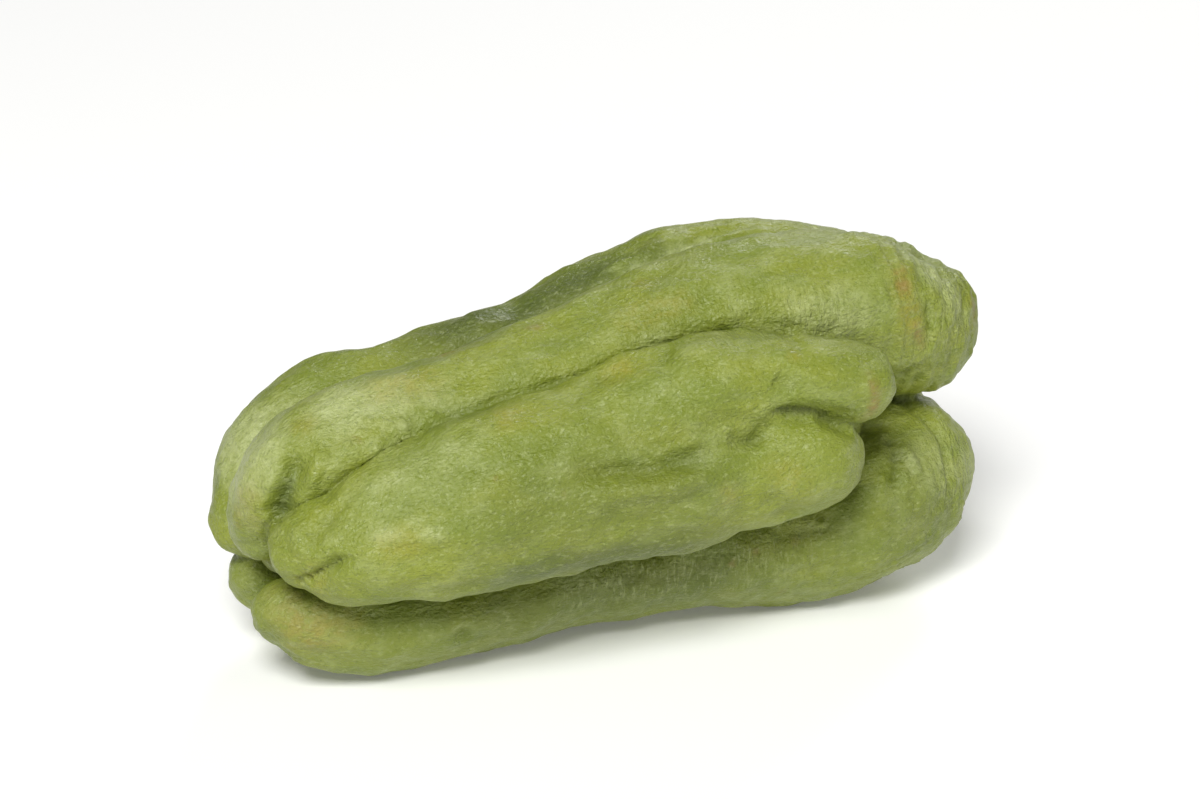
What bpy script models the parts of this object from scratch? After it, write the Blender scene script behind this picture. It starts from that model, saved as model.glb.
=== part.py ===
"""A chayote squash: one solid fruit with five deep lobes, lying on its two lower lobes.

Metres, +Z up. +X runs from the stem end, where the lobes close round a puckered pit, to the
blossom end, where they close in an upper and a lower lip. The origin is under the middle of the
fruit, on the surface that it lies on.

Each lobe is a tube of oval section that follows a few stations. The tubes overlap, a voxel
remesh joins them into one skin with creases between them, and the skin is thinned to a light
solid and cut flat where it rests.
"""

import math

import bmesh
import bpy
import numpy as np

NAME = "chayote_squash"
MM = 0.001
LENGTH = 0.158  # over the lobes, from the stem end to the blossom end
FOOT_DEPTH = 0.0005  # how much of the lowest lobes the flat resting places take off
VOXEL = 0.0012
SMOOTH_STEPS = 3
TRIANGLES = 7000
RINGS = 72
SIDES = 40
SKIN_COLOUR = (0.33, 0.42, 0.08, 1.0)
SKIN_ROUGHNESS = 0.45

# The line through the fruit's heart, as (x, z) in millimetres. A lobe's height points away from it.
HEART = ((0, 25.5), (15, 27), (30, 30), (60, 34.5), (94, 38.5), (120, 39.5), (160, 38.5))

# Stations along each lobe in millimetres: the centre's x, y, z, then the half width across the
# lobe and the half height away from the heart. The ends are rounded off.
LOBES = {
    "heart": (
        (10, 0.5, 25.5, 6, 6), (18.5, 1.5, 28.5, 10.5, 10.5), (30.5, 1, 30.5, 15, 15),
        (60.5, 1, 34, 20.5, 20.5), (94.5, 1, 38, 25, 24), (118.5, 1, 39, 23, 20),
        (137, 0.5, 38, 16, 13),
    ),
    "back_upper": (
        (12, 7, 24, 5, 5), (10, 11, 29, 7, 7), (14, 14.5, 35, 9, 9), (21, 18.5, 41, 11.5, 10),
        (31.5, 21, 43, 14, 10.5), (45, 21, 43, 15.5, 10), (59, 21, 46, 16, 10.5),
        (70, 21, 46, 16.5, 10.5), (87.5, 21, 52, 17.5, 12.5), (109.5, 21, 55.5, 18, 13.5),
        (131, 18.5, 52, 17.5, 14), (144.5, 12, 47.5, 14, 14), (153.5, 6, 44.5, 9, 11),
    ),
    "top": (
        (12, -0.5, 27.5, 5, 5), (9, -3, 35.5, 7, 7), (13, -5.5, 44.5, 10, 9),
        (23, -6, 49, 11.5, 10), (39, -6, 51, 11.5, 10.5), (68, -6, 57, 11.5, 11),
        (97, -6, 62.5, 13, 13), (117, -7, 61.5, 15, 15), (130.5, -7.5, 59.5, 15, 15.5),
        (142.5, -6, 53, 13, 14.5), (153.5, -1, 46.5, 9, 10.5),
    ),
    "front": (
        (9, -10.5, 31, 6, 5), (12, -15, 34, 7.5, 8), (19, -19.5, 35, 11, 10),
        (32, -23, 38.5, 14.5, 11), (49, -24.5, 42, 16.5, 12), (67, -25.5, 44, 17.5, 12),
        (84.5, -26.5, 46, 19.5, 12), (94.5, -25, 46.5, 17, 11), (106.5, -21, 46.5, 10, 8),
    ),
    "front_upper_finger": (
        (77, -25, 54, 10, 11), (91, -25.5, 56.5, 10, 10.5), (103, -28, 56.5, 9, 9),
        (113, -30.5, 56, 8, 8), (124.5, -30, 53, 7, 7),
    ),
    "front_lower_finger": (
        (80.5, -28, 39.5, 9, 9), (93.5, -29.5, 40.5, 11.5, 9.5), (106, -31.5, 41.5, 10.5, 9.5),
        (118, -31.5, 41, 8.5, 8),
    ),
    "low_front": (
        (11.5, -2, 22, 5, 6), (12.5, -6, 18, 8, 8), (20.5, -8, 14.5, 10, 9), (37, -9, 12.75, 12.5, 10),
        (51, -9, 13.75, 13, 10), (66, -9, 15.5, 13.5, 10.5), (95, -10, 16.75, 15, 12.5),
        (117, -11, 18.05, 16, 15.5), (130.5, -12, 21.25, 16, 16), (141.5, -8, 25, 13.5, 15),
        (153.5, -2, 27, 9.5, 11.5),
    ),
    "low_back": (
        (13.5, 4.5, 22, 5, 6.5), (13.5, 9.5, 18.5, 7.5, 8), (22, 13, 14.5, 10.5, 9),
        (36.5, 16.5, 15.1, 14.5, 10), (65.5, 17, 17.75, 16, 11.5), (94.5, 17.5, 18.75, 17, 13.5),
        (116.5, 17, 18.1, 17, 14.5), (130.5, 15, 21, 16.5, 15.5), (142, 10, 25.5, 14, 15),
        (153, 3.5, 27, 9.5, 11.5),
    ),
    "upper_lip": (
        (121, 4, 49, 12, 11), (133, 4.5, 51.5, 14, 13.5), (145, 3.5, 49, 12, 13),
        (152.5, 2.5, 46.5, 9, 10),
    ),
    "lower_lip": (
        (121, 3, 22, 12, 11), (133, 2.5, 23.5, 13, 14), (145, 1.5, 26.5, 12, 13.5),
        (152.5, 0.5, 28, 9, 10.5),
    ),
}


def clear_scene():
    for obj in list(bpy.data.objects):
        bpy.data.objects.remove(obj, do_unlink=True)


def curve_through(values, along, at):
    """Values at the distances `at` of a smooth curve through the stations (cubic Hermite)."""
    slopes = np.gradient(values, along, axis=0)
    left = np.clip(np.searchsorted(along, at, side="right") - 1, 0, len(along) - 2)
    span = (along[left + 1] - along[left])[:, None]
    t = ((at - along[left]) / span[:, 0])[:, None]
    start = (2 * t**3 - 3 * t**2 + 1) * values[left] + (t**3 - 2 * t**2 + t) * span * slopes[left]
    end = (3 * t**2 - 2 * t**3) * values[left + 1] + (t**3 - t**2) * span * slopes[left + 1]
    return start + end


def unit(vectors):
    return vectors / np.linalg.norm(vectors, axis=1)[:, None]


def lobe_rings(stations):
    """Rings of points round a lobe, in millimetres, and its two end points."""
    stations = np.array(stations, float)
    steps = np.linalg.norm(np.diff(stations[:, :3], axis=0), axis=1)
    along = np.concatenate([[0.0], np.cumsum(steps)])
    total = along[-1]
    # Rings stand closer together near the ends, where the caps round off.
    at = total * (0.5 - 0.5 * np.cos(np.linspace(0, math.pi, RINGS + 2)))
    row = curve_through(stations, along, at)
    centre, half = row[:, :3], row[:, 3:5]

    forward = unit(np.gradient(centre, at, axis=0))
    heart = np.array(HEART, float)
    heart_z = np.interp(centre[:, 0], heart[:, 0], heart[:, 1])
    outward = unit(np.stack([0 * at, centre[:, 1], centre[:, 2] - heart_z], axis=1))
    across = np.cross((1.0, 0.0, 0.0), outward)
    across = unit(across - (across * forward).sum(axis=1)[:, None] * forward)
    outward = np.cross(across, forward)

    cap = half.mean(axis=1)
    near_end = np.minimum(at / cap[0], (total - at) / cap[-1]).clip(0, 1)
    half = half * np.sqrt(1 - (1 - near_end) ** 2)[:, None]
    turn = np.linspace(0, 2 * math.pi, SIDES, endpoint=False)
    rings = (
        centre[:, None]
        + half[:, 0, None, None] * np.cos(turn)[None, :, None] * across[:, None]
        + half[:, 1, None, None] * np.sin(turn)[None, :, None] * outward[:, None]
    )
    return rings[1:-1], centre[0], centre[-1]


def add_lobe(mesh, stations):
    """One closed tube in the bmesh."""
    rings, first, last = lobe_rings(stations)
    loops = [[mesh.verts.new(point * MM) for point in ring] for ring in rings]
    tips = [mesh.verts.new(first * MM), mesh.verts.new(last * MM)]
    for near, far in zip(loops, loops[1:]):
        for i in range(SIDES):
            j = (i + 1) % SIDES
            mesh.faces.new((near[i], near[j], far[j], far[i]))
    for i in range(SIDES):
        j = (i + 1) % SIDES
        mesh.faces.new((tips[0], loops[0][j], loops[0][i]))
        mesh.faces.new((tips[1], loops[-1][i], loops[-1][j]))


def lobes_object():
    """All the lobes as overlapping closed tubes in one mesh."""
    mesh = bmesh.new()
    for stations in LOBES.values():
        add_lobe(mesh, stations)
    bmesh.ops.recalc_face_normals(mesh, faces=mesh.faces)
    data = bpy.data.meshes.new(NAME)
    mesh.to_mesh(data)
    mesh.free()
    obj = bpy.data.objects.new(NAME, data)
    bpy.context.scene.collection.objects.link(obj)
    return obj


def evaluated_mesh(obj):
    """The object's mesh with its modifiers applied; the modifiers are removed."""
    graph = bpy.context.evaluated_depsgraph_get()
    data = bpy.data.meshes.new_from_object(obj.evaluated_get(graph))
    obj.modifiers.clear()
    obj.data = data
    data.name = NAME


def join_skin(obj):
    """The tubes as one skin, a little smoothed so that the creases are rounded."""
    remesh = obj.modifiers.new("one skin", "REMESH")
    remesh.mode = "VOXEL"
    remesh.voxel_size = VOXEL
    smooth = obj.modifiers.new("soft creases", "SMOOTH")
    smooth.factor = 0.5
    smooth.iterations = SMOOTH_STEPS
    evaluated_mesh(obj)


def thin_out(obj):
    triangles = sum(len(face.vertices) - 2 for face in obj.data.polygons)
    decimate = obj.modifiers.new("fewer faces", "DECIMATE")
    decimate.ratio = TRIANGLES / triangles
    evaluated_mesh(obj)


def box_of(mesh):
    points = np.array([vertex.co for vertex in mesh.verts])
    return points.min(axis=0), points.max(axis=0)


def settle(obj):
    """The true length, the flat resting places on z = 0, and the origin under the middle."""
    mesh = bmesh.new()
    mesh.from_mesh(obj.data)
    low, high = box_of(mesh)
    bmesh.ops.scale(mesh, verts=mesh.verts, vec=(LENGTH / (high[0] - low[0]),) * 3)
    low, high = box_of(mesh)
    middle = (low + high) / 2
    bmesh.ops.translate(mesh, verts=mesh.verts, vec=(-middle[0], -middle[1], -low[2] - FOOT_DEPTH))
    cut = bmesh.ops.bisect_plane(
        mesh,
        geom=mesh.verts[:] + mesh.edges[:] + mesh.faces[:],
        plane_co=(0, 0, 0),
        plane_no=(0, 0, -1),
        clear_outer=True,
    )
    rim = [item for item in cut["geom_cut"] if isinstance(item, bmesh.types.BMEdge)]
    bmesh.ops.holes_fill(mesh, edges=rim)
    bmesh.ops.recalc_face_normals(mesh, faces=mesh.faces)
    mesh.to_mesh(obj.data)
    mesh.free()


def skin_material():
    material = bpy.data.materials.new("matt_green_rind")
    material.use_nodes = True
    shader = material.node_tree.nodes["Principled BSDF"]
    shader.inputs["Base Color"].default_value = SKIN_COLOUR
    shader.inputs["Roughness"].default_value = SKIN_ROUGHNESS
    shader.inputs["Metallic"].default_value = 0.0
    return material


def main():
    clear_scene()
    squash = lobes_object()
    join_skin(squash)
    thin_out(squash)
    settle(squash)
    squash.data.materials.append(skin_material())
    squash.data.shade_smooth()


main()
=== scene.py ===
"""The finished skin of a chayote squash, as a Blender add-on that is run as a script."""

import itertools
import math

import bpy
import numpy as np
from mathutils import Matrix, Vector
from mathutils.bvhtree import BVHTree


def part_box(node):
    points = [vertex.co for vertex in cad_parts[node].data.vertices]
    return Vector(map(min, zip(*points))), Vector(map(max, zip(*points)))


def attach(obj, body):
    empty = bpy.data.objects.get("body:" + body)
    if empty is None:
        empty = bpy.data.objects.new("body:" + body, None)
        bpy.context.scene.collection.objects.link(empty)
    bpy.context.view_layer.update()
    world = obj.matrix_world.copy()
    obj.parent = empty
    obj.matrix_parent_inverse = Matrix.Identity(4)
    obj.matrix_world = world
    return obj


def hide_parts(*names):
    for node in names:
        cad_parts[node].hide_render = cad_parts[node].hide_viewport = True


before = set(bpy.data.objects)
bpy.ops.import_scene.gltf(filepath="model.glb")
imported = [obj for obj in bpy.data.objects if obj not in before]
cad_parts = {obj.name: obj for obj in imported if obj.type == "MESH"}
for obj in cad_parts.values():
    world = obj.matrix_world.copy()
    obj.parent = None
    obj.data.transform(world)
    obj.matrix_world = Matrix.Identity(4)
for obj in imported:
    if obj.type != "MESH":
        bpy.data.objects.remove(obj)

bl_info = {
    "name": "Chayote Squash",
    "version": (1, 0, 0),
    "blender": (4, 5, 0),
    "location": "View3D > Sidebar > Squash",
    "description": "Grows the wrinkled skin of a five-lobed chayote squash around its packed solid",
    "category": "Object",
}

MM = 0.001
NODE = "chayote_squash"
LOW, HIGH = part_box(NODE)
MIDDLE = (LOW + HIGH) / 2
LENGTH = HIGH.x - LOW.x
FLOOR_SIDE = 6.0  # in metres
FLOOR_GLOW = 0.12  # light that the floor gives off, so that it stays as pale as the white round it
WORLD_WHITE = 0.1  # strength of the white all round, which fills the shadows
LIGHT_DISTANCE = 2.0  # from the fruit's middle to each softbox, in metres
SOFTBOX_SIDE = 0.8  # in metres
# The weaker softboxes: azimuth and elevation in degrees, then power in watts.
WEAK_SOFTBOXES = {"softbox_fill": (50, 25, 4), "softbox_rim": (140, 30, 14)}
AIM_OFFSET = Vector((0.9, 5.9, 5.6))  # from the fruit's middle to what the camera looks at, in mm
FOOT_DEPTH = 0.5 * MM  # how far the lowest lobes are pressed flat where they rest

# The line through the fruit's heart, as (x, z) in millimetres. A lobe's height points away from it.
HEART = ((0, 25.5), (15, 27), (30, 30), (60, 34.5), (94, 38.5), (120, 39.5), (160, 38.5))

# Stations along each lobe in millimetres: the centre's x, y, z, then the half width across the
# lobe and the half height away from the heart. The ends are rounded off.
LOBES = {
    "heart": (
        (10, 0.5, 25.5, 6, 6), (18.5, 1.5, 28.5, 10.5, 10.5), (30.5, 1, 30.5, 15, 15),
        (60.5, 1, 34, 20.5, 20.5), (94.5, 1, 38, 25, 24), (118.5, 1, 39, 23, 20),
        (137, 0.5, 38, 16, 13),
    ),
    "back_upper": (
        (12, 7, 24, 5, 5), (10, 11, 29, 7, 7), (14, 14.5, 35, 9, 9), (21, 18.5, 41, 11.5, 10),
        (31.5, 21, 43, 14, 10.5), (45, 21, 43, 15.5, 10), (59, 21, 46, 16, 10.5),
        (70, 21, 46, 16.5, 10.5), (87.5, 21, 52, 17.5, 12.5), (109.5, 21, 55.5, 18, 13.5),
        (131, 18.5, 52, 17.5, 14), (144.5, 12, 47.5, 14, 14), (153.5, 6, 44.5, 9, 11),
    ),
    "top": (
        (12, -0.5, 27.5, 5, 5), (9, -3, 35.5, 7, 7), (13, -5.5, 44.5, 10, 9),
        (23, -6, 49, 11.5, 10), (39, -6, 51, 11.5, 10.5), (68, -6, 57, 11.5, 11),
        (97, -6, 62.5, 13, 13), (117, -7, 61.5, 15, 15), (130.5, -7.5, 59.5, 15, 15.5),
        (142.5, -6, 53, 13, 14.5), (153.5, -1, 46.5, 9, 10.5),
    ),
    "front": (
        (9, -10.5, 31, 6, 5), (12, -15, 34, 7.5, 8), (19, -19.5, 35, 11, 10),
        (32, -23, 38.5, 14.5, 11), (49, -24.5, 42, 16.5, 12), (67, -25.5, 44, 17.5, 12),
        (84.5, -26.5, 46, 19.5, 12), (94.5, -25, 46.5, 17, 11), (106.5, -21, 46.5, 10, 8),
    ),
    "front_upper_finger": (
        (77, -25, 54, 10, 11), (91, -25.5, 56.5, 10, 10.5), (103, -28, 56.5, 9, 9),
        (113, -30.5, 56, 8, 8), (124.5, -30, 53, 7, 7),
    ),
    "front_lower_finger": (
        (80.5, -28, 39.5, 9, 9), (93.5, -29.5, 40.5, 11.5, 9.5), (106, -31.5, 41.5, 10.5, 9.5),
        (118, -31.5, 41, 8.5, 8),
    ),
    "low_front": (
        (11.5, -2, 22, 5, 6), (12.5, -6, 18, 8, 8), (20.5, -8, 14.5, 10, 9), (37, -9, 12.75, 12.5, 10),
        (51, -9, 13.75, 13, 10), (66, -9, 15.5, 13.5, 10.5), (95, -10, 16.75, 15, 12.5),
        (117, -11, 18.05, 16, 15.5), (130.5, -12, 21.25, 16, 16), (141.5, -8, 25, 13.5, 15),
        (153.5, -2, 27, 9.5, 11.5),
    ),
    "low_back": (
        (13.5, 4.5, 22, 5, 6.5), (13.5, 9.5, 18.5, 7.5, 8), (22, 13, 14.5, 10.5, 9),
        (36.5, 16.5, 15.1, 14.5, 10), (65.5, 17, 17.75, 16, 11.5), (94.5, 17.5, 18.75, 17, 13.5),
        (116.5, 17, 18.1, 17, 14.5), (130.5, 15, 21, 16.5, 15.5), (142, 10, 25.5, 14, 15),
        (153, 3.5, 27, 9.5, 11.5),
    ),
    "upper_lip": (
        (121, 4, 49, 12, 11), (133, 4.5, 51.5, 14, 13.5), (145, 3.5, 49, 12, 13),
        (152.5, 2.5, 46.5, 9, 10),
    ),
    "lower_lip": (
        (121, 3, 22, 12, 11), (133, 2.5, 23.5, 13, 14), (145, 1.5, 26.5, 12, 13.5),
        (152.5, 0.5, 28, 9, 10.5),
    ),
}

# Lobes that lie on their neighbours, the topmost first: each one's edge hides what is under it.
OVERLAPS = (
    ("front", "front_upper_finger", "front_lower_finger"),
    ("top",),
    ("low_front",),
    ("back_upper",),
)
OWN_SKIN = 0.45  # nearer than this to a lobe's tube, in millimetres, the skin is that lobe's own
TUCK_START = (0.2, 0.9)  # distance from that tube over which the neighbour's dip sets in, likewise
TUCK_REACH = 2.2  # distance from that tube where the dip has faded out, likewise

# A copy of the skin, melted down by steps of smoothing, shows where the furrows are and which way
# is outward. The more steps, the wider the furrows and lumps that melt away.
MELT_CREASES = 160
MELT_FURROWS = 90
MELT_LUMPS = 20
CREASE_START = (0.5 * MM, 2.2 * MM)  # depth over which the deepening of a crease sets in
FULL_FURROW = 1.2 * MM  # a furrow has its full painted shade from this depth on

# Lumps and wrinkles: the size of one in millimetres along x, across and up, its height, and the
# span of x and of the angle round the heart where it lies, or nothing where it lies all over.
LUMPS = (
    ((17, 12, 12), 0.9, ()),  # broad swellings
    ((8, 5.5, 5.5), 0.5, ()),  # knobbles
    ((5, 2.6, 2.6), 0.32, ()),  # wrinkles
    ((2.8, 1.5, 1.5), 0.11, ()),  # pebbled skin
    ((1.4, 3.2, 3.2), 0.2, ((128, 165), (-90, 120))),  # finer wrinkles all round the blossom end
    ((2.0, 7, 7), 0.12, ((80, 130), (38, 62))),  # drawn up along the forked lobe's edge
    ((2.2, 6, 6), 0.6, ((128, 165), (10, 120))),  # hoops round the upper lip
    ((2.6, 8, 8), 0.3, ((130, 165), (-90, 5))),  # hoops round the lower lip
    ((2.4, 6, 6), 0.4, ((56, 126), (-56, -26))),  # folds that run down from the front crease
    ((5, 3, 3), 0.4, ((30, 84), (-18, 0))),  # scallops along the forked lobe's lower edge
    ((7, 1.4, 1.4), 0.5, ((84, 126), (90, 122))),  # lengthwise wrinkles in the upper fold
    ((2.0, 2.0, 2.0), 0.3, ((22, 42), (48, 62))),  # pimpled strip beside the front crease
)
SPAN_FADE = 4.0  # a span's ends fade over this many millimetres to each side,
ANGLE_FADE = 8.0  # and over this many degrees
NOISE_CELLS = 32  # cells of noise before it repeats
NOISE_GAIN = 1.6  # brings the noise's peaks to about 1

# Strokes of the sculpting: height in millimetres (a negative one presses in), reach to each side,
# whether the stroke is sharp like a fold, and its path over the skin as x in millimetres and
# degrees round the heart line.
STROKES = (
    # The hollow under the top lobe's tip, and the tip's own swelling.
    (-2.5, 3.6, False, ((13, 64), (11, 58), (9, 51), (7, 44))),
    (0.8, 2.0, False, ((17, 62), (15, 56), (13, 50))),
    (0.7, 4.0, False, ((6, 76), (4, 68), (4, 58))),
    (0.8, 4.0, False, ((15, 53), (22, 55), (30, 55))),
    # The forked lobe's tip: a hooked fold under a nose, with a shallow valley behind the nose.
    (-1.8, 2.2, True, ((17, 19), (14, 19), (12, 16), (10, 12), (8, 12))),
    (-1.0, 3.5, False, ((15, 19), (12, 16), (9, 12))),
    (-0.8, 3.0, False, ((19, 41), (15, 36), (12, 32), (11, 26))),
    (0.7, 3.0, False, ((9, 38), (9, 30), (10, 22))),
    (0.6, 4.0, False, ((22, 24), (29, 19), (35, 17))),
    # The long shallow groove along the forked lobe, with the swelling under it.
    (-0.8, 6.0, False, ((93, 20), (83, 21), (77, 21), (66, 22), (56, 22))),
    (-1.5, 3.0, False, ((86, 18), (80, 17), (72, 18), (66, 20), (58, 22))),
    (1.2, 3.5, False, ((88, 11), (80, 12), (72, 13), (64, 15), (56, 16))),
    # The notch where the lobe forks, the pinch behind it and the dents round it.
    (-2.0, 2.2, True, ((96, 24), (101, 22), (106, 20), (110, 17), (115, 12))),
    (-1.3, 3.8, False, ((96, 25), (101, 23), (106, 21), (111, 18), (115, 14))),
    (-1.5, 2.6, False, ((97, 19), (94, 17), (91, 18), (88, 20))),
    (-0.7, 1.6, True, ((96, 18), (94, 17), (91, 18))),
    (-1.4, 4.0, False, ((98, 33), (102, 28))),
    (-0.8, 2.5, False, ((105, 45), (105, 38))),
    (-0.9, 4.0, False, ((102, -12), (97, -2), (94, 2))),
    # The top lobe's flank is full down to the front crease.
    (0.7, 6.0, False, ((36, 58), (51, 62), (63, 61), (79, 58), (89, 57), (99, 60), (112, 56))),
    (1.1, 3.6, False, (
        (58, 55), (68, 53), (76, 52), (83, 51), (91, 52), (101, 50), (107, 47), (122, 41),
    )),
    # Valleys along the back of the top lobe.
    (-0.9, 5.0, False, ((97, 81), (84, 78), (74, 76), (66, 71), (57, 71))),
    (-1.2, 2.0, True, ((78, 92), (86, 109), (92, 109), (104, 112), (114, 114), (123, 116))),
    (0.6, 1.4, False, ((84, 114), (92, 113), (100, 115))),
    (0.5, 1.2, False, ((96, 108), (106, 110), (116, 112))),
    # The blossom end's slope above and fullness below, and the lower lobe's tucked-in corner.
    (-1.3, 9.0, False, ((136, 80), (143, 72), (149, 60))),
    (1.1, 8.0, False, ((136, -62), (144, -54), (149, -44))),
    (-1.3, 5.0, False, ((5, -48), (8, -58), (12, -64))),
    # Hoops and drawn-up folds at the blossom end.
    (-0.7, 3.2, False, ((139, 54), (138, 44), (135, 33))),
    (-0.5, 1.8, True, ((139, 52), (139, 43), (137, 33))),
    (-0.4, 1.6, True, ((146, 66), (145, 55), (147, 44), (144, 33))),
    (-0.4, 1.5, True, ((150, 62), (148, 50), (150, 40))),
    (-0.4, 1.8, True, ((109, 57), (107, 45))),
    (-0.3, 1.6, True, ((114, 55), (112, 44))),
    (-0.5, 1.8, True, ((123, 54), (122, 40))),
    (-0.5, 1.8, True, ((127, 52), (125, 38))),
    (-0.6, 1.8, True, ((124, 25), (133, 28), (140, 34))),
    # The lower lip: a groove beside the fork's tip, hoops and bumps.
    (-1.9, 3.0, True, ((132, -6), (132, -12), (130, -17), (129, -22))),
    (-1.0, 1.8, True, ((136, 0), (138, -4))),
    (-1.3, 2.6, True, ((139, 0), (142, -7), (144, -17), (143, -25), (141, -34))),
    (1.0, 2.0, False, ((134, -13), (135, -18))),
    (0.8, 1.8, False, ((127, -19), (126, -22))),
    (1.1, 1.5, False, ((114, -31),)),
    (-0.6, 2.2, True, ((99, -31), (102, -41))),
    (-0.5, 2.0, True, ((104, -30), (105, -37))),
    (-0.5, 2.2, True, ((110, -28), (109, -38))),
    (-0.6, 2.2, True, ((93, -33), (95, -42))),
    (-0.5, 1.6, True, ((122, -46), (133, -43), (142, -41))),
    (-0.5, 1.6, True, ((116, -52), (126, -47), (136, -46))),
    (-1.2, 3.0, False, ((41, -40),)),
    # The back: shallow valleys, a dimple and folds beside the creases.
    (-0.9, 5.0, False, ((110, 152), (92, 150), (74, 146), (60, 148))),
    (-1.0, 4.5, False, ((98, 205), (82, 208), (66, 206))),
    (-1.1, 3.0, False, ((52, 212),)),
    (-0.6, 2.0, True, ((124, 172), (127, 163))),
    (-0.6, 2.0, True, ((117, 172), (119, 164))),
    (-0.5, 2.0, True, ((108, 190), (110, 198))),
    (-0.5, 2.0, True, ((101, 190), (102, 197))),
    (0.7, 1.3, False, ((72, 160),)),
    (0.6, 1.1, False, ((76, 155),)),
    # Warts beside the front crease.
    (0.9, 1.4, False, ((26, 63),)),
    (0.8, 1.2, False, ((26, 53),)),
    (0.8, 1.3, False, ((21, 58),)),
    (0.9, 1.3, False, ((35, 54),)),
    (0.8, 1.2, False, ((38, 59),)),
    (0.6, 1.0, False, ((24, 61),)),
    (0.6, 1.0, False, ((32, 57),)),
    (0.6, 1.0, False, ((17, 57),)),
    (0.6, 1.1, False, ((29, 60),)),
)
DEGREE = 0.5  # what a degree round the heart measures on the skin, about, in millimetres
OUTSIDE = 90  # from the heart line to a place clear of the fruit, in millimetres
NEAR_SKIN = 30  # from the heart line to the skin, about, in millimetres

# Patches on the skin: strength, reach in millimetres and path, as for the sculpting. All are colours
# but "crosswise", where the finest wrinkles run across the lobe.
PATCHES = {
    "ochre_patch": (
        (0.8, 6, ((26, 75), (35, 73), (43, 69))),
        (0.6, 4, ((15, 72),)),
        (0.7, 5, ((46, 46), (52, 44))),
        (0.9, 4, ((70, 49), (74, 47))),
        (0.6, 5, ((74, 67), (93, 65))),
        (0.5, 5, ((20, 19), (24, 19), (29, 18))),
        (0.5, 6, ((9, 18), (13, 8))),
        (0.6, 5, ((97, 8), (101, 4))),
        (0.5, 4, ((87, 5),)),
        (0.7, 7, ((12, -24), (16, -29), (24, -29))),
        (0.6, 9, ((9, -20), (14, -40))),
        (1.0, 5, ((134, 66), (133, 54), (135, 38))),
        (0.6, 5, ((44, 89), (50, 84))),
        (1.0, 2, ((103, 37),)),
        (0.7, 3, ((83, 78), (85, 77))),
        (0.7, 7, ((84, 150), (98, 152))),
        (0.6, 8, ((104, 208), (116, 206))),
    ),
    "scar": (
        (1.0, 1.7, ((117, 28), (118, 22), (117, 16))),
        (0.7, 2.0, ((152, 58), (152, 48))),
        (0.25, 8, ((9, -16), (12, -30), (17, -44))),
        (0.3, 5, ((4, 70), (3, 60), (4, 50))),
        (0.7, 1.3, ((61, 78), (63, 77))),
        (0.6, 1.0, ((43, 90), (46, 86), (48, 84))),
        (0.7, 1.2, ((23, 58),)),
        (0.8, 2.2, ((133, 59), (133, 55))),
        (0.7, 1.8, ((135, 44), (137, 39))),
        (0.5, 1.2, ((100, -36),)),
        (0.5, 1.2, ((95, -38),)),
        (0.4, 1.4, ((108, -34),)),
        (0.4, 1.4, ((107, -51),)),
        (0.8, 0.8, ((43, 28),)),
        (0.8, 0.6, ((55, 19),)),
    ),
    # Pale waxy skin, and in places painted sheen: along the upper fold and along the top right edge.
    "pale_skin_and_sheen": (
        (1.0, 12, ((4, 100), (5, 80), (12, 68))),
        (1.0, 12, ((7, 150), (9, 130), (14, 118), (22, 108))),
        (0.2, 10, ((14, 40), (26, 40), (40, 36))),
        (0.85, 10, ((14, 75), (26, 72), (38, 66))),
        # painted sheen along the upper fold
        (0.9, 2.2, ((86, 111), (92, 110), (104, 112), (115, 113))),
        # painted sheen along the top right edge
        (0.6, 6, ((108, 108), (122, 104), (136, 96))),
        (0.6, 3, ((36, 42), (39, 41))),
        (0.6, 3, ((27, 39),)),
        (0.7, 3, ((21, 24), (24, 22))),
        (0.6, 2.5, ((29, 19), (32, 18))),
        (0.6, 3, ((20, 79), (24, 78))),
        (0.6, 5, ((36, 67), (40, 67))),
        (0.4, 8, ((105, 55), (118, 52), (128, 50))),
        (0.7, 5, ((137, 68), (144, 58), (148, 48))),
        (0.6, 6, ((150, -25), (151, -40))),
        (0.7, 4, ((134, -13), (136, -18))),
        (0.15, 9, ((6, -14), (14, -28), (24, -34))),
        (0.4, 10, ((136, -10), (144, -30))),
        (0.5, 2, ((3, 61),)),
    ),
    "crosswise": (
        (1.0, 11, ((80, 50), (104, 50), (126, 46))),
        (0.35, 12, ((40, 68), (80, 62), (100, 62), (125, 62))),
        (1.0, 14, ((142, 70), (144, 45), (141, 25))),
        (1.0, 13, ((52, -38), (90, -38), (108, -36), (122, -36))),
        (1.0, 14, ((145, -5), (148, -25), (142, -45))),
    ),
    # Painted shade: a darker green on the back lobe's flank behind the top lobe, in the hollow under
    # the top lobe's tip, on the forked lobe's lower half and under its edge, on the lower lobe and
    # under the blossom end.
    "painted_shade": (
        (0.75, 9, ((38, 120), (50, 120), (60, 120), (70, 119), (84, 116), (98, 114))),
        (0.7, 8, ((38, 99), (50, 97), (62, 96), (74, 98), (90, 104))),
        (0.4, 6, ((92, 113), (99, 113))),
        (0.6, 3, ((9, 50), (11, 60))),
        (0.6, 9, ((33, -4), (54, -4), (77, -8), (95, -8))),
        (0.45, 13, ((30, -46), (48, -42), (68, -44), (89, -44), (112, -42))),
        (0.3, 18, ((30, 14), (60, 14), (95, 12))),
        (0.35, 14, ((124, -28), (146, -34))),
    ),
}


# ---------------------------------------------------------------------------------------------
# Sizes and colours that a user would change
# ---------------------------------------------------------------------------------------------


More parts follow.
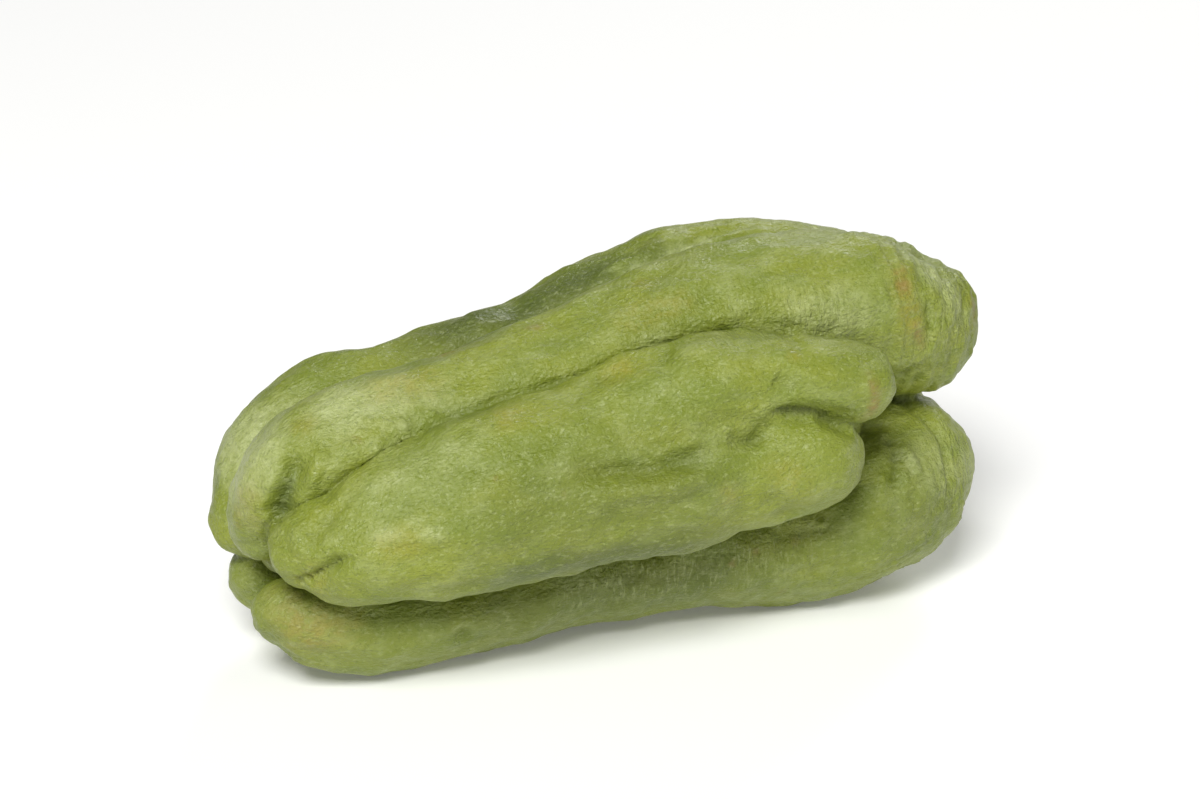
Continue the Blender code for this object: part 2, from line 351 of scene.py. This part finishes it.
class SquashShape(bpy.types.PropertyGroup):
    """How the fruit's skin is shaped"""

    sides: bpy.props.IntProperty(
        name="Lobe sides", description="Points round each lobe before the lobes join", default=96
    )
    rings: bpy.props.IntProperty(
        name="Lobe rings", description="Rings of points along each lobe", default=160
    )
    grain: bpy.props.FloatProperty(
        name="Grain",
        description="Spacing of the skin's points while it is shaped",
        default=0.55 * MM,
        unit="LENGTH",
        precision=5,
    )
    triangles: bpy.props.IntProperty(
        name="Triangles", description="How many triangles the finished skin has", default=190000
    )
    crease_depth: bpy.props.FloatProperty(
        name="Crease depth",
        description="How much deeper the creases between the lobes are pressed",
        default=0.9 * MM,
        unit="LENGTH",
        precision=5,
    )
    overlap: bpy.props.FloatProperty(
        name="Overlap",
        description="How deep a lobe's edge dips under the lobe that lies on it",
        default=1.5 * MM,
        unit="LENGTH",
        precision=5,
    )
    lumpiness: bpy.props.FloatProperty(
        name="Lumpiness", description="Scale of all lumps and wrinkles", default=1.0
    )


class SquashRind(bpy.types.PropertyGroup):
    """The rind's colours"""

    green: bpy.props.StringProperty(
        name="Green", description="Main colour of the rind, sRGB hex", default="#7F8A30"
    )
    deep_green: bpy.props.StringProperty(
        name="Deep green", description="Colour of the greener stretches", default="#707F28"
    )
    yellow_green: bpy.props.StringProperty(
        name="Yellow green", description="Colour of the riper stretches", default="#8A922F"
    )
    # Also the colour of the painted sheen along the upper fold and the top right edge, and of the
    # flecks that stand in part for glints.
    pale_green: bpy.props.StringProperty(
        name="Pale green", description="Colour of the waxy patches and flecks", default="#B4BC82"
    )
    # The colour of painted shade, down in the furrows and creases and over the stretches that lie in
    # shade; the pores take it as well.
    shade_green: bpy.props.StringProperty(
        name="Shade green", description="Colour down in the creases", default="#3F4C1C"
    )
    ochre: bpy.props.StringProperty(
        name="Ochre", description="Sun-warmed colour on the lobes' backs", default="#958C2E"
    )
    scar_brown: bpy.props.StringProperty(
        name="Scar brown", description="Colour of healed rubs and specks", default="#8C673F"
    )


class SquashStage(bpy.types.PropertyGroup):
    """The floor, the lights and the camera"""

    azimuth: bpy.props.FloatProperty(
        name="Azimuth",
        description="Camera's angle round the fruit, from its front towards its blossom end",
        default=math.radians(-24),
        subtype="ANGLE",
    )
    elevation: bpy.props.FloatProperty(
        name="Elevation",
        description="Camera's angle above the floor",
        default=math.radians(23),
        subtype="ANGLE",
    )
    distance: bpy.props.FloatProperty(
        name="Distance",
        description="From the camera to what it looks at",
        default=0.723,
        unit="LENGTH",
    )
    lens: bpy.props.FloatProperty(
        name="Lens", description="Focal length", default=110.0, unit="CAMERA"
    )
    floor_colour: bpy.props.StringProperty(
        name="Floor colour", description="Colour of the paper floor, sRGB hex", default="#F4F4F2"
    )
    key_azimuth: bpy.props.FloatProperty(
        name="Key azimuth",
        description="The main softbox's angle round the fruit",
        default=math.radians(-36),
        subtype="ANGLE",
    )
    key_elevation: bpy.props.FloatProperty(
        name="Key elevation",
        description="The main softbox's angle above the floor",
        default=math.radians(48),
        subtype="ANGLE",
    )
    key_power: bpy.props.FloatProperty(
        name="Key power", description="Watts of the main softbox", default=46.0, unit="POWER"
    )


# ---------------------------------------------------------------------------------------------
# Small tools
# ---------------------------------------------------------------------------------------------


def deselect_all():
    if bpy.context.mode != "OBJECT":
        bpy.ops.object.mode_set(mode="OBJECT")
    bpy.ops.object.select_all(action="DESELECT")


def select_only(obj):
    deselect_all()
    obj.select_set(True)
    bpy.context.view_layer.objects.active = obj


def points_of(obj):
    values = np.empty(len(obj.data.vertices) * 3, np.float32)
    obj.data.vertices.foreach_get("co", values)
    return values.reshape(-1, 3).astype(float)


def put_points(obj, points):
    obj.data.vertices.foreach_set("co", points.astype(np.float32).ravel())
    obj.data.update()


def normals_of(obj):
    values = np.empty(len(obj.data.vertices) * 3, np.float32)
    obj.data.vertices.foreach_get("normal", values)
    return values.reshape(-1, 3).astype(float)


def unit(vectors):
    return vectors / np.linalg.norm(vectors, axis=-1, keepdims=True)


def apply_modifier(obj, kind, name, **settings):
    """Adds one modifier with its settings and applies it."""
    select_only(obj)
    modifier = obj.modifiers.new(name, kind)
    for key, value in settings.items():
        setattr(modifier, key, value)
    bpy.ops.object.modifier_apply(modifier=name)


def linear_colour(text):
    """An sRGB hex colour as linear RGBA."""
    channels = [int(text[i : i + 2], 16) / 255 for i in (1, 3, 5)]
    linear = [c / 12.92 if c <= 0.04045 else ((c + 0.055) / 1.055) ** 2.4 for c in channels]
    return (*linear, 1.0)


# ---------------------------------------------------------------------------------------------
# The lobes
# ---------------------------------------------------------------------------------------------


def curve_through(values, along, at):
    """Values at the distances `at` of a smooth curve through the stations (cubic Hermite)."""
    slopes = np.gradient(values, along, axis=0)
    left = np.clip(np.searchsorted(along, at, side="right") - 1, 0, len(along) - 2)
    span = (along[left + 1] - along[left])[:, None]
    t = (at - along[left])[:, None] / span
    start = (2 * t**3 - 3 * t**2 + 1) * values[left] + (t**3 - 2 * t**2 + t) * span * slopes[left]
    end = (3 * t**2 - 2 * t**3) * values[left + 1] + (t**3 - t**2) * span * slopes[left + 1]
    return start + end


def heart_height(x):
    """Height of the heart line in millimetres at x in millimetres."""
    line = np.array(HEART, float)
    return np.interp(x, line[:, 0], line[:, 1])


def lobe_frame(stations, rings):
    """Rings along a lobe in millimetres: the centre, the half sizes and their two directions."""
    stations = np.array(stations, float)
    steps = np.linalg.norm(np.diff(stations[:, :3], axis=0), axis=1)
    along = np.concatenate([[0.0], np.cumsum(steps)])
    # Rings stand closer together near the ends, where the lobe rounds off.
    at = along[-1] * (0.5 - 0.5 * np.cos(np.linspace(0, math.pi, rings + 1)))
    row = curve_through(stations, along, at)
    centre, half = row[:, :3], row[:, 3:5]
    forward = unit(np.gradient(centre, at, axis=0))
    outward = np.stack([0 * at, centre[:, 1], centre[:, 2] - heart_height(centre[:, 0])], axis=1)
    across = np.cross((1.0, 0.0, 0.0), unit(outward))
    across = unit(across - (across * forward).sum(axis=1, keepdims=True) * forward)
    cap = half.mean(axis=1)
    near_end = np.minimum(at / cap[0], (at[-1] - at) / cap[-1]).clip(0, 1)
    half = half * np.sqrt(1 - (1 - near_end) ** 2)[:, None]
    return centre, half, across, np.cross(across, forward)


def add_lobe(name, stations, shape):
    """A ball drawn out along the lobe's line, its rings taking the lobe's place and width."""
    deselect_all()
    bpy.ops.mesh.primitive_uv_sphere_add(
        segments=shape.sides, ring_count=shape.rings, radius=1, location=(0, 0, 0)
    )
    lobe = bpy.context.object
    lobe.name = name
    centre, half, across, outward = lobe_frame(stations, shape.rings)
    ball = points_of(lobe)
    ring = np.rint(np.arccos(np.clip(-ball[:, 2], -1, 1)) / math.pi * shape.rings).astype(int)
    around = np.arctan2(ball[:, 1], ball[:, 0])
    is_pole = np.abs(ball[:, 2]) > 1 - 1e-6
    width = np.where(is_pole, 0.0, half[ring, 0])
    height = np.where(is_pole, 0.0, half[ring, 1])
    placed = (
        centre[ring]
        + (width * np.cos(around))[:, None] * across[ring]
        + (height * np.sin(around))[:, None] * outward[ring]
    )
    put_points(lobe, placed * MM)
    return lobe


def lobe_tree(name, sides=48, rings=60):
    """The surface of one lobe in millimetres, for measuring how near a point is to it."""
    centre, half, across, outward = (part[:, None] for part in lobe_frame(LOBES[name], rings))
    turn = np.linspace(0, 2 * math.pi, sides, endpoint=False)[None, :, None]
    points = centre + half[..., :1] * np.cos(turn) * across + half[..., 1:] * np.sin(turn) * outward
    ring, side = np.meshgrid(np.arange(rings), np.arange(sides), indexing="ij")
    near, far = ring * sides, ring * sides + sides
    beside = (side + 1) % sides
    faces = np.stack([near + side, near + beside, far + beside, far + side], axis=2)
    return BVHTree.FromPolygons(points.reshape(-1, 3).tolist(), faces.reshape(-1, 4).tolist())


def keep_largest_body(squash):
    """Drops the specks of skin that the joining leaves inside the fruit."""
    select_only(squash)
    bpy.ops.object.mode_set(mode="EDIT")
    bpy.ops.mesh.select_all(action="SELECT")
    bpy.ops.mesh.separate(type="LOOSE")
    bpy.ops.object.mode_set(mode="OBJECT")
    bodies = sorted(bpy.context.selected_objects, key=lambda body: len(body.data.vertices))
    for speck in bodies[:-1]:
        bpy.data.objects.remove(speck, do_unlink=True)
    return bodies[-1]


def join_lobes(shape):
    """Draws out every lobe and joins them into one closed skin."""
    lobes = [add_lobe(name, stations, shape) for name, stations in LOBES.items()]
    deselect_all()
    for lobe in lobes:
        lobe.select_set(True)
    bpy.context.view_layer.objects.active = lobes[0]
    bpy.ops.object.join()
    squash = bpy.context.object
    bpy.ops.object.mode_set(mode="EDIT")
    bpy.ops.mesh.select_all(action="SELECT")
    bpy.ops.mesh.normals_make_consistent(inside=False)
    bpy.ops.object.mode_set(mode="OBJECT")
    apply_modifier(squash, "REMESH", "one skin", mode="VOXEL", voxel_size=shape.grain)
    apply_modifier(squash, "SMOOTH", "soft creases", factor=0.5, iterations=3)
    squash = keep_largest_body(squash)
    squash.name = "squash_skin"
    squash.data.name = "squash_skin"
    return squash


# ---------------------------------------------------------------------------------------------
# Creases, lumps and wrinkles
# ---------------------------------------------------------------------------------------------


def smooth_noise(places, seed):
    """Gradient noise, one value from about -1 to 1 for each point, with cells of unit size."""
    box = (NOISE_CELLS, NOISE_CELLS, NOISE_CELLS)
    slopes = unit(np.random.default_rng(seed).normal(size=(*box, 3)))
    cell = np.floor(places).astype(int)
    inside = places - cell
    fade = inside**3 * (inside * (inside * 6 - 15) + 10)
    total = np.zeros(len(places))
    for corner in itertools.product((0, 1), repeat=3):
        at = (cell + corner) % NOISE_CELLS
        push = (slopes[at[:, 0], at[:, 1], at[:, 2]] * (inside - corner)).sum(axis=1)
        total += np.where(corner, fade, 1 - fade).prod(axis=1) * push
    return NOISE_GAIN * total


def ramp(values, low, high):
    """0 below low, 1 above high, and a soft rise between them."""
    t = np.clip((values - low) / (high - low), 0, 1)
    return t * t * (3 - 2 * t)


def angle_round_heart(points):
    """Degrees round the heart line: 0 to the front, 90 up, -90 down, for points in millimetres."""
    return np.degrees(np.arctan2(points[:, 2] - heart_height(points[:, 0]), -points[:, 1]))


def stroke_line(skin, path):
    """The path as points on the skin about a millimetre apart, and the skin's normals there."""
    path = np.array(path, float)
    if len(path) > 1:
        reach = np.hypot(*(np.diff(path, axis=0) * (1, DEGREE)).T)
        along = np.concatenate([[0], np.cumsum(reach)])
        at = np.linspace(0, along[-1], max(2, math.ceil(along[-1]) + 1))
        path = np.stack([np.interp(at, along, path[:, 0]), np.interp(at, along, path[:, 1])], axis=1)
    places, normals = [], []
    for x, angle in path:
        out = Vector((0, -math.cos(math.radians(angle)), math.sin(math.radians(angle))))
        heart = Vector((x, 0, float(heart_height(x))))
        place, normal, _, _ = skin.ray_cast((heart + OUTSIDE * out) * MM, -out)
        if place is None:  # past the end of the lobes at this angle
            place, normal, _, _ = skin.find_nearest((heart + NEAR_SKIN * out) * MM)
        places.append(np.array(place) / MM)
        normals.append(np.array(normal))
    return np.array(places), np.array(normals)


def stroke_weight(points, normals, line, facing, reach, sharp):
    """How strongly a stroke acts on each point: 1 on its line, fading to 0 at its reach.

    It leaves skin alone that faces another way, such as the far wall of a crease.
    """
    weight = np.zeros(len(points))
    near = np.all((points > line.min(axis=0) - reach) & (points < line.max(axis=0) + reach), axis=1)
    near = np.flatnonzero(near)
    gap = np.linalg.norm(points[near, None] - line[None], axis=2)
    closest = gap.argmin(axis=1)
    gap = np.clip(gap.min(axis=1) / reach, 0, 1)
    same_side = ramp((normals[near] * facing[closest]).sum(axis=1), 0.0, 0.6)
    # The stroke sets in and fades out over about a third of its line.
    tips = np.minimum(closest + 1, len(line) - closest) / (0.3 * len(line) + 0.5)
    profile = (1 - gap) ** 2 if sharp else (1 - gap**2) ** 2
    weight[near] = profile * same_side * ramp(tips, 0, 1)
    return weight


def melted(squash, steps):
    """Points and normals of the skin as they would lie with its furrows melted away."""
    select_only(squash)
    bpy.ops.object.duplicate()
    soft = bpy.context.object
    apply_modifier(soft, "SMOOTH", "melt", factor=0.5, iterations=steps)
    points, normals = points_of(soft), normals_of(soft)
    bpy.data.objects.remove(soft, do_unlink=True)
    return points, normals


def gaps_to(points, lobes):
    """Distance from each point to the nearest of the lobes' tubes, all in millimetres."""
    gaps = np.full(len(points), math.inf)
    for lobe in lobes:
        for i, point in enumerate(points):
            gap = lobe.find_nearest(point, TUCK_REACH)[3]
            if gap is not None and gap < gaps[i]:
                gaps[i] = gap
    return gaps


def deepen_creases(squash, depth, overlap):
    """Presses the bottoms of the creases in, and each lobe's edge under the lobes that lie on it."""
    before = points_of(squash)
    soft, outward = melted(squash, MELT_CREASES)
    sunk = ((soft - before) * outward).sum(axis=1)
    dip = depth * ramp(sunk, *CREASE_START)
    tucked = np.zeros(len(before))
    lies_on_top = np.zeros(len(before), bool)
    for names in OVERLAPS:
        gap = gaps_to(before / MM, [lobe_tree(name) for name in names])
        # Skin on the lobe itself stays where it is.
        under = np.clip(1 - gap / TUCK_REACH, 0, 1) ** 2 * ramp(gap, *TUCK_START)
        tucked = np.maximum(tucked, np.where(lies_on_top, 0, under))
        lies_on_top |= gap < OWN_SKIN
    put_points(squash, before - outward * (dip + overlap * tucked)[:, None])


def raise_lumps(squash, scale):
    """Lumps and wrinkles of every size, stronger in the patches where the skin is drawn up."""
    points, normals = points_of(squash) / MM, normals_of(squash)
    angle = angle_round_heart(points)
    height = np.zeros(len(points))
    for seed, (size, tall, spans) in enumerate(LUMPS):
        strength = np.full(len(points), tall)
        if spans:
            for place, (first, last), fade in (
                (points[:, 0], spans[0], SPAN_FADE),
                (angle, spans[1], ANGLE_FADE),
            ):
                strength *= ramp(place, first - fade, first + fade)
                strength *= 1 - ramp(place, last - fade, last + fade)
        # Each layer is shifted, so that the cells of two layers don't line up.
        height += strength * smooth_noise(points / size + 7.3 * seed, seed)
    put_points(squash, (points + normals * (scale * height)[:, None]) * MM)


def sculpt(squash):
    """The single dents, folds, ridges and warts, pushed along normals that the lumps don't sway."""
    skin = BVHTree.FromObject(squash, bpy.context.evaluated_depsgraph_get())
    points, normals = points_of(squash) / MM, normals_of(squash)
    outward = melted(squash, MELT_LUMPS)[1]
    height = np.zeros(len(points))
    for tall, reach, sharp, path in STROKES:
        line, facing = stroke_line(skin, path)
        height += tall * stroke_weight(points, normals, line, facing, reach, sharp)
    put_points(squash, (points + outward * height[:, None]) * MM)


def keep_attribute(squash, name, values):
    attribute = squash.data.attributes.new(name, "FLOAT", "POINT")
    attribute.data.foreach_set("value", values.astype(np.float32))


def measure_furrows(squash):
    """Stores how deep each point lies in a furrow, from 0 to 1, where the rind paints shade."""
    soft, outward = melted(squash, MELT_FURROWS)
    sunk = ((soft - points_of(squash)) * outward).sum(axis=1)
    keep_attribute(squash, "furrow", np.clip(sunk / FULL_FURROW, 0, 1))


def paint(squash):
    """Stores where each patch of colour lies, from strokes like those of the sculpting."""
    skin = BVHTree.FromObject(squash, bpy.context.evaluated_depsgraph_get())
    points, normals = points_of(squash) / MM, normals_of(squash)
    for name, strokes in PATCHES.items():
        amount = np.zeros(len(points))
        for strength, reach, path in strokes:
            line, facing = stroke_line(skin, path)
            touch = strength * stroke_weight(points, normals, line, facing, reach, False)
            amount = np.maximum(amount, touch)
        keep_attribute(squash, name, amount)


def fit_to_frame(squash):
    """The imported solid's length and place, with the feet still FOOT_DEPTH too low."""
    points = points_of(squash)
    points *= LENGTH / np.ptp(points[:, 0])
    low, high = points.min(axis=0), points.max(axis=0)
    middle = (low + high) / 2
    shift = np.array([MIDDLE.x - middle[0], MIDDLE.y - middle[1], LOW.z - low[2] - FOOT_DEPTH])
    put_points(squash, points + shift)


def press_feet(squash):
    """The lowest skin lies flat on the surface under it."""
    points = points_of(squash)
    points[:, 2] = np.maximum(points[:, 2], LOW.z)
    put_points(squash, points)


def shape_skin(squash, shape):
    """Creases, lumps and sculpting on the fine skin, which is then thinned, painted and placed."""
    deepen_creases(squash, shape.crease_depth, shape.overlap)
    raise_lumps(squash, shape.lumpiness)
    sculpt(squash)
    triangles = sum(len(face.vertices) - 2 for face in squash.data.polygons)
    apply_modifier(squash, "DECIMATE", "fewer faces", ratio=shape.triangles / triangles)
    measure_furrows(squash)
    paint(squash)
    fit_to_frame(squash)
    press_feet(squash)
    squash.data.shade_smooth()


# ---------------------------------------------------------------------------------------------
# The rind
# ---------------------------------------------------------------------------------------------


def add_node(tree, kind, inputs=None, **settings):
    """One node with its settings; an input is a value or the socket that feeds it."""
    node = tree.nodes.new(kind)
    for key, value in settings.items():
        setattr(node, key, value)
    for key, value in (inputs or {}).items():
        if isinstance(value, bpy.types.NodeSocket):
            tree.links.new(value, node.inputs[key])
        else:
            node.inputs[key].default_value = value
    return node


def rind_material(rind):
    """Fresh chayote rind: thin and waxy, netted with fine wrinkles, satin where light catches it."""
    material = bpy.data.materials.new("waxy_chayote_rind")
    material.use_nodes = True
    tree = material.node_tree
    shader = tree.nodes["Principled BSDF"]
    body = add_node(tree, "ShaderNodeTexCoord").outputs["Object"]

    # Patterns: the size of one mark in millimetres along, across and up, its fine detail, and the
    # span of noise over which the mark fades in. The netting's span runs downwards, so that it lies
    # where the noise is low. Real pores are about 0.2 mm; they are drawn coarser, so that they show.
    patterns = {}
    for name, size, detail, low, high in (
        ("greener", (26, 14, 14), 2, 0.44, 0.62),
        ("yellower", (19, 11, 11), 2, 0.46, 0.64),
        ("bloom", (7, 4.5, 4.5), 4, 0.46, 0.70),
        ("cloudy", (3.0, 2.2, 2.2), 4, 0.38, 0.62),
        # pale flecks and dashes, in part painted glints on the fine wrinkles
        ("flecks", (1.4, 0.8, 0.8), 4, 0.53, 0.68),
        ("cross_flecks", (0.7, 2.4, 2.4), 3, 0.53, 0.68),
        ("netting", (1.3, 0.9, 0.9), 4, 0.48, 0.34),
        ("pores", (0.6, 0.6, 0.6), 1, 0.60, 0.72),
    ):
        scale = tuple(1 / (side * MM) for side in size)
        spread = add_node(tree, "ShaderNodeVectorMath", {0: body, 1: scale}, operation="MULTIPLY")
        noise = add_node(
            tree,
            "ShaderNodeTexNoise",
            {"Vector": spread.outputs[0], "Scale": 1, "Detail": detail, "Roughness": 0.65},
        )
        marks = {"Value": noise.outputs["Fac"], "From Min": low, "From Max": high}
        patterns[name] = add_node(
            tree, "ShaderNodeMapRange", marks, interpolation_type="SMOOTHSTEP"
        ).outputs["Result"]
    for name in ("furrow", *PATCHES):
        patterns[name] = add_node(tree, "ShaderNodeAttribute", attribute_name=name).outputs["Fac"]

    colour = linear_colour(rind.green)
    for name, where, strength, over in (
        ("greener", None, 0.55, rind.deep_green),
        ("yellower", None, 0.5, rind.yellow_green),
        ("bloom", None, 0.22, rind.pale_green),
        # pale waxy skin, and painted sheen along the upper fold and the top right edge
        ("pale_skin_and_sheen", "cloudy", 0.6, rind.pale_green),
        ("pale_skin_and_sheen", None, 0.55, rind.pale_green),
        # painted shade over the stretches that lie in shade
        ("painted_shade", None, 1.0, rind.shade_green),
        ("ochre_patch", "cloudy", 0.55, rind.ochre),
        ("ochre_patch", None, 0.25, rind.ochre),
        ("netting", None, 0.45, rind.deep_green),
        # pale flecks, in part painted glints on the fine wrinkles
        ("flecks", None, 0.28, rind.pale_green),
        ("cross_flecks", "crosswise", 0.4, rind.pale_green),
        ("pores", None, 0.25, rind.shade_green),
        ("scar", "cloudy", 0.6, rind.scar_brown),
        ("scar", None, 0.3, rind.scar_brown),
        # painted shade down in the furrows and creases
        ("furrow", None, 0.35, rind.shade_green),
    ):
        mask = patterns[name]
        if where:
            both = {0: mask, 1: patterns[where]}
            mask = add_node(tree, "ShaderNodeMath", both, operation="MULTIPLY").outputs[0]
        amount = {0: mask, 1: strength}
        share = add_node(tree, "ShaderNodeMath", amount, operation="MULTIPLY").outputs[0]
        layers = {0: share, 6: colour, 7: linear_colour(over)}
        colour = add_node(tree, "ShaderNodeMix", layers, data_type="RGBA").outputs[2]
    tree.links.new(colour, shader.inputs["Base Color"])

    # Wrinkles too fine for the mesh: a net of them about 1 mm apart, and finer dimples between them.
    # Where the skin is drawn up crosswise, a second set runs across the lobe.
    height = 0.0
    for size, tall, kind, where in (
        ((1.5, 0.8, 0.8), 0.45, "RIDGED_MULTIFRACTAL", None),
        ((0.9, 0.6, 0.6), 1.3, "FBM", None),
        ((0.8, 2.4, 2.4), 2.4, "FBM", "crosswise"),
    ):
        scale = tuple(1 / (side * MM) for side in size)
        spread = add_node(tree, "ShaderNodeVectorMath", {0: body, 1: scale}, operation="MULTIPLY")
        shape = {"Vector": spread.outputs[0], "Scale": 1, "Detail": 4, "Distortion": 0.4}
        wave = add_node(tree, "ShaderNodeTexNoise", shape, noise_type=kind).outputs["Fac"]
        if where:
            both = {0: wave, 1: patterns[where]}
            wave = add_node(tree, "ShaderNodeMath", both, operation="MULTIPLY").outputs[0]
        step = {0: wave, 1: tall, 2: height}
        height = add_node(tree, "ShaderNodeMath", step, operation="MULTIPLY_ADD").outputs[0]
    relief = {"Height": height, "Strength": 1.0, "Distance": 0.35 * MM}
    tree.links.new(
        add_node(tree, "ShaderNodeBump", relief).outputs["Normal"], shader.inputs["Normal"]
    )
    shine = {"Value": patterns["cloudy"], "To Min": 0.34, "To Max": 0.5}
    tree.links.new(
        add_node(tree, "ShaderNodeMapRange", shine).outputs["Result"], shader.inputs["Roughness"]
    )
    shader.inputs["IOR"].default_value = 1.45
    shader.inputs["Subsurface Weight"].default_value = 0.06
    shader.inputs["Subsurface Radius"].default_value = (1.2, 1.6, 0.4)
    shader.inputs["Subsurface Scale"].default_value = 1.5 * MM
    return material


# ---------------------------------------------------------------------------------------------
# The whole fruit
# ---------------------------------------------------------------------------------------------


class SQUASH_OT_fruit(bpy.types.Operator):
    """Grow the fruit: join its lobes, crease and sculpt the skin, and colour it as fresh rind"""

    bl_idname = "squash.fruit"
    bl_label = "Fruit"

    def execute(self, context):
        squash = join_lobes(context.scene.squash_shape)
        shape_skin(squash, context.scene.squash_shape)
        squash.data.materials.append(rind_material(context.scene.squash_rind))
        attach(squash, "root")
        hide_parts(NODE)
        return {"FINISHED"}


# ---------------------------------------------------------------------------------------------
# The stage
# ---------------------------------------------------------------------------------------------


def add_floor(colour):
    """Matt white paper: a quiet pale ground, so the eye finds only the fruit and its soft shadow."""
    deselect_all()
    bpy.ops.mesh.primitive_plane_add(size=FLOOR_SIDE, location=(0, 0, 0))
    floor = bpy.context.object
    floor.name = "studio_floor"
    material = bpy.data.materials.new("matt_white_paper")
    material.use_nodes = True
    shader = material.node_tree.nodes["Principled BSDF"]
    shader.inputs["Base Color"].default_value = linear_colour(colour)
    shader.inputs["Roughness"].default_value = 0.9
    shader.inputs["Emission Color"].default_value = (1, 1, 1, 1)
    shader.inputs["Emission Strength"].default_value = FLOOR_GLOW
    floor.data.materials.append(material)


def direction(azimuth, elevation):
    """From the fruit towards a light or the camera; azimuth 0 is its front, seen along +Y."""
    flat = math.cos(elevation)
    return Vector((math.sin(azimuth) * flat, -math.cos(azimuth) * flat, math.sin(elevation)))


def add_softbox(name, azimuth, elevation, power):
    """A square area light that faces the fruit."""
    deselect_all()
    towards = direction(azimuth, elevation)
    bpy.ops.object.light_add(type="AREA", location=MIDDLE + towards * LIGHT_DISTANCE)
    light = bpy.context.object
    light.name = name
    light.data.shape = "SQUARE"
    light.data.size = SOFTBOX_SIDE
    light.data.energy = power
    light.rotation_euler = (-towards).to_track_quat("-Z", "Y").to_euler()


def add_camera(stage):
    """The camera on its ray, looking a little above the fruit's middle."""
    back = direction(stage.azimuth, stage.elevation)
    target = MIDDLE + AIM_OFFSET * MM
    deselect_all()
    bpy.ops.object.camera_add(location=target + back * stage.distance)
    camera = bpy.context.object
    camera.name = "camera"
    camera.rotation_euler = (-back).to_track_quat("-Z", "Y").to_euler()
    camera.data.lens = stage.lens
    bpy.context.scene.camera = camera


class SQUASH_OT_stage(bpy.types.Operator):
    """Set the pale floor, the soft lights and the camera"""

    bl_idname = "squash.stage"
    bl_label = "Stage"

    def execute(self, context):
        stage = context.scene.squash_stage
        add_floor(stage.floor_colour)
        add_softbox("softbox_key", stage.key_azimuth, stage.key_elevation, stage.key_power)
        for name, (azimuth, elevation, power) in WEAK_SOFTBOXES.items():
            add_softbox(name, math.radians(azimuth), math.radians(elevation), power)
        world = bpy.data.worlds.new("studio_white")
        world.use_nodes = True
        sky = world.node_tree.nodes["Background"]
        sky.inputs["Color"].default_value = (1, 1, 1, 1)
        sky.inputs["Strength"].default_value = WORLD_WHITE
        context.scene.world = world
        context.scene.view_settings.view_transform = "Standard"
        add_camera(stage)
        return {"FINISHED"}


class SQUASH_PT_panel(bpy.types.Panel):
    """The squash's sizes, colours and steps"""

    bl_label = "Chayote Squash"
    bl_space_type = "VIEW_3D"
    bl_region_type = "UI"
    bl_category = "Squash"

    def draw(self, context):
        for group in (
            context.scene.squash_shape,
            context.scene.squash_rind,
            context.scene.squash_stage,
        ):
            box = self.layout.box()
            for name in group.bl_rna.properties.keys():
                if name not in ("rna_type", "name"):
                    box.prop(group, name)
        for operator in OPERATORS:
            self.layout.operator(operator.bl_idname)


OPERATORS = (SQUASH_OT_fruit, SQUASH_OT_stage)
GROUPS = (SquashShape, SquashRind, SquashStage)


def register():
    for made in (*GROUPS, *OPERATORS, SQUASH_PT_panel):
        bpy.utils.register_class(made)
    bpy.types.Scene.squash_shape = bpy.props.PointerProperty(type=SquashShape)
    bpy.types.Scene.squash_rind = bpy.props.PointerProperty(type=SquashRind)
    bpy.types.Scene.squash_stage = bpy.props.PointerProperty(type=SquashStage)


def unregister():
    del bpy.types.Scene.squash_stage
    del bpy.types.Scene.squash_rind
    del bpy.types.Scene.squash_shape
    for made in reversed((*GROUPS, *OPERATORS, SQUASH_PT_panel)):
        bpy.utils.unregister_class(made)


def main():
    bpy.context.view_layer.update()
    register()
    bpy.ops.squash.fruit()
    bpy.ops.squash.stage()


if __name__ == "__main__":
    main()
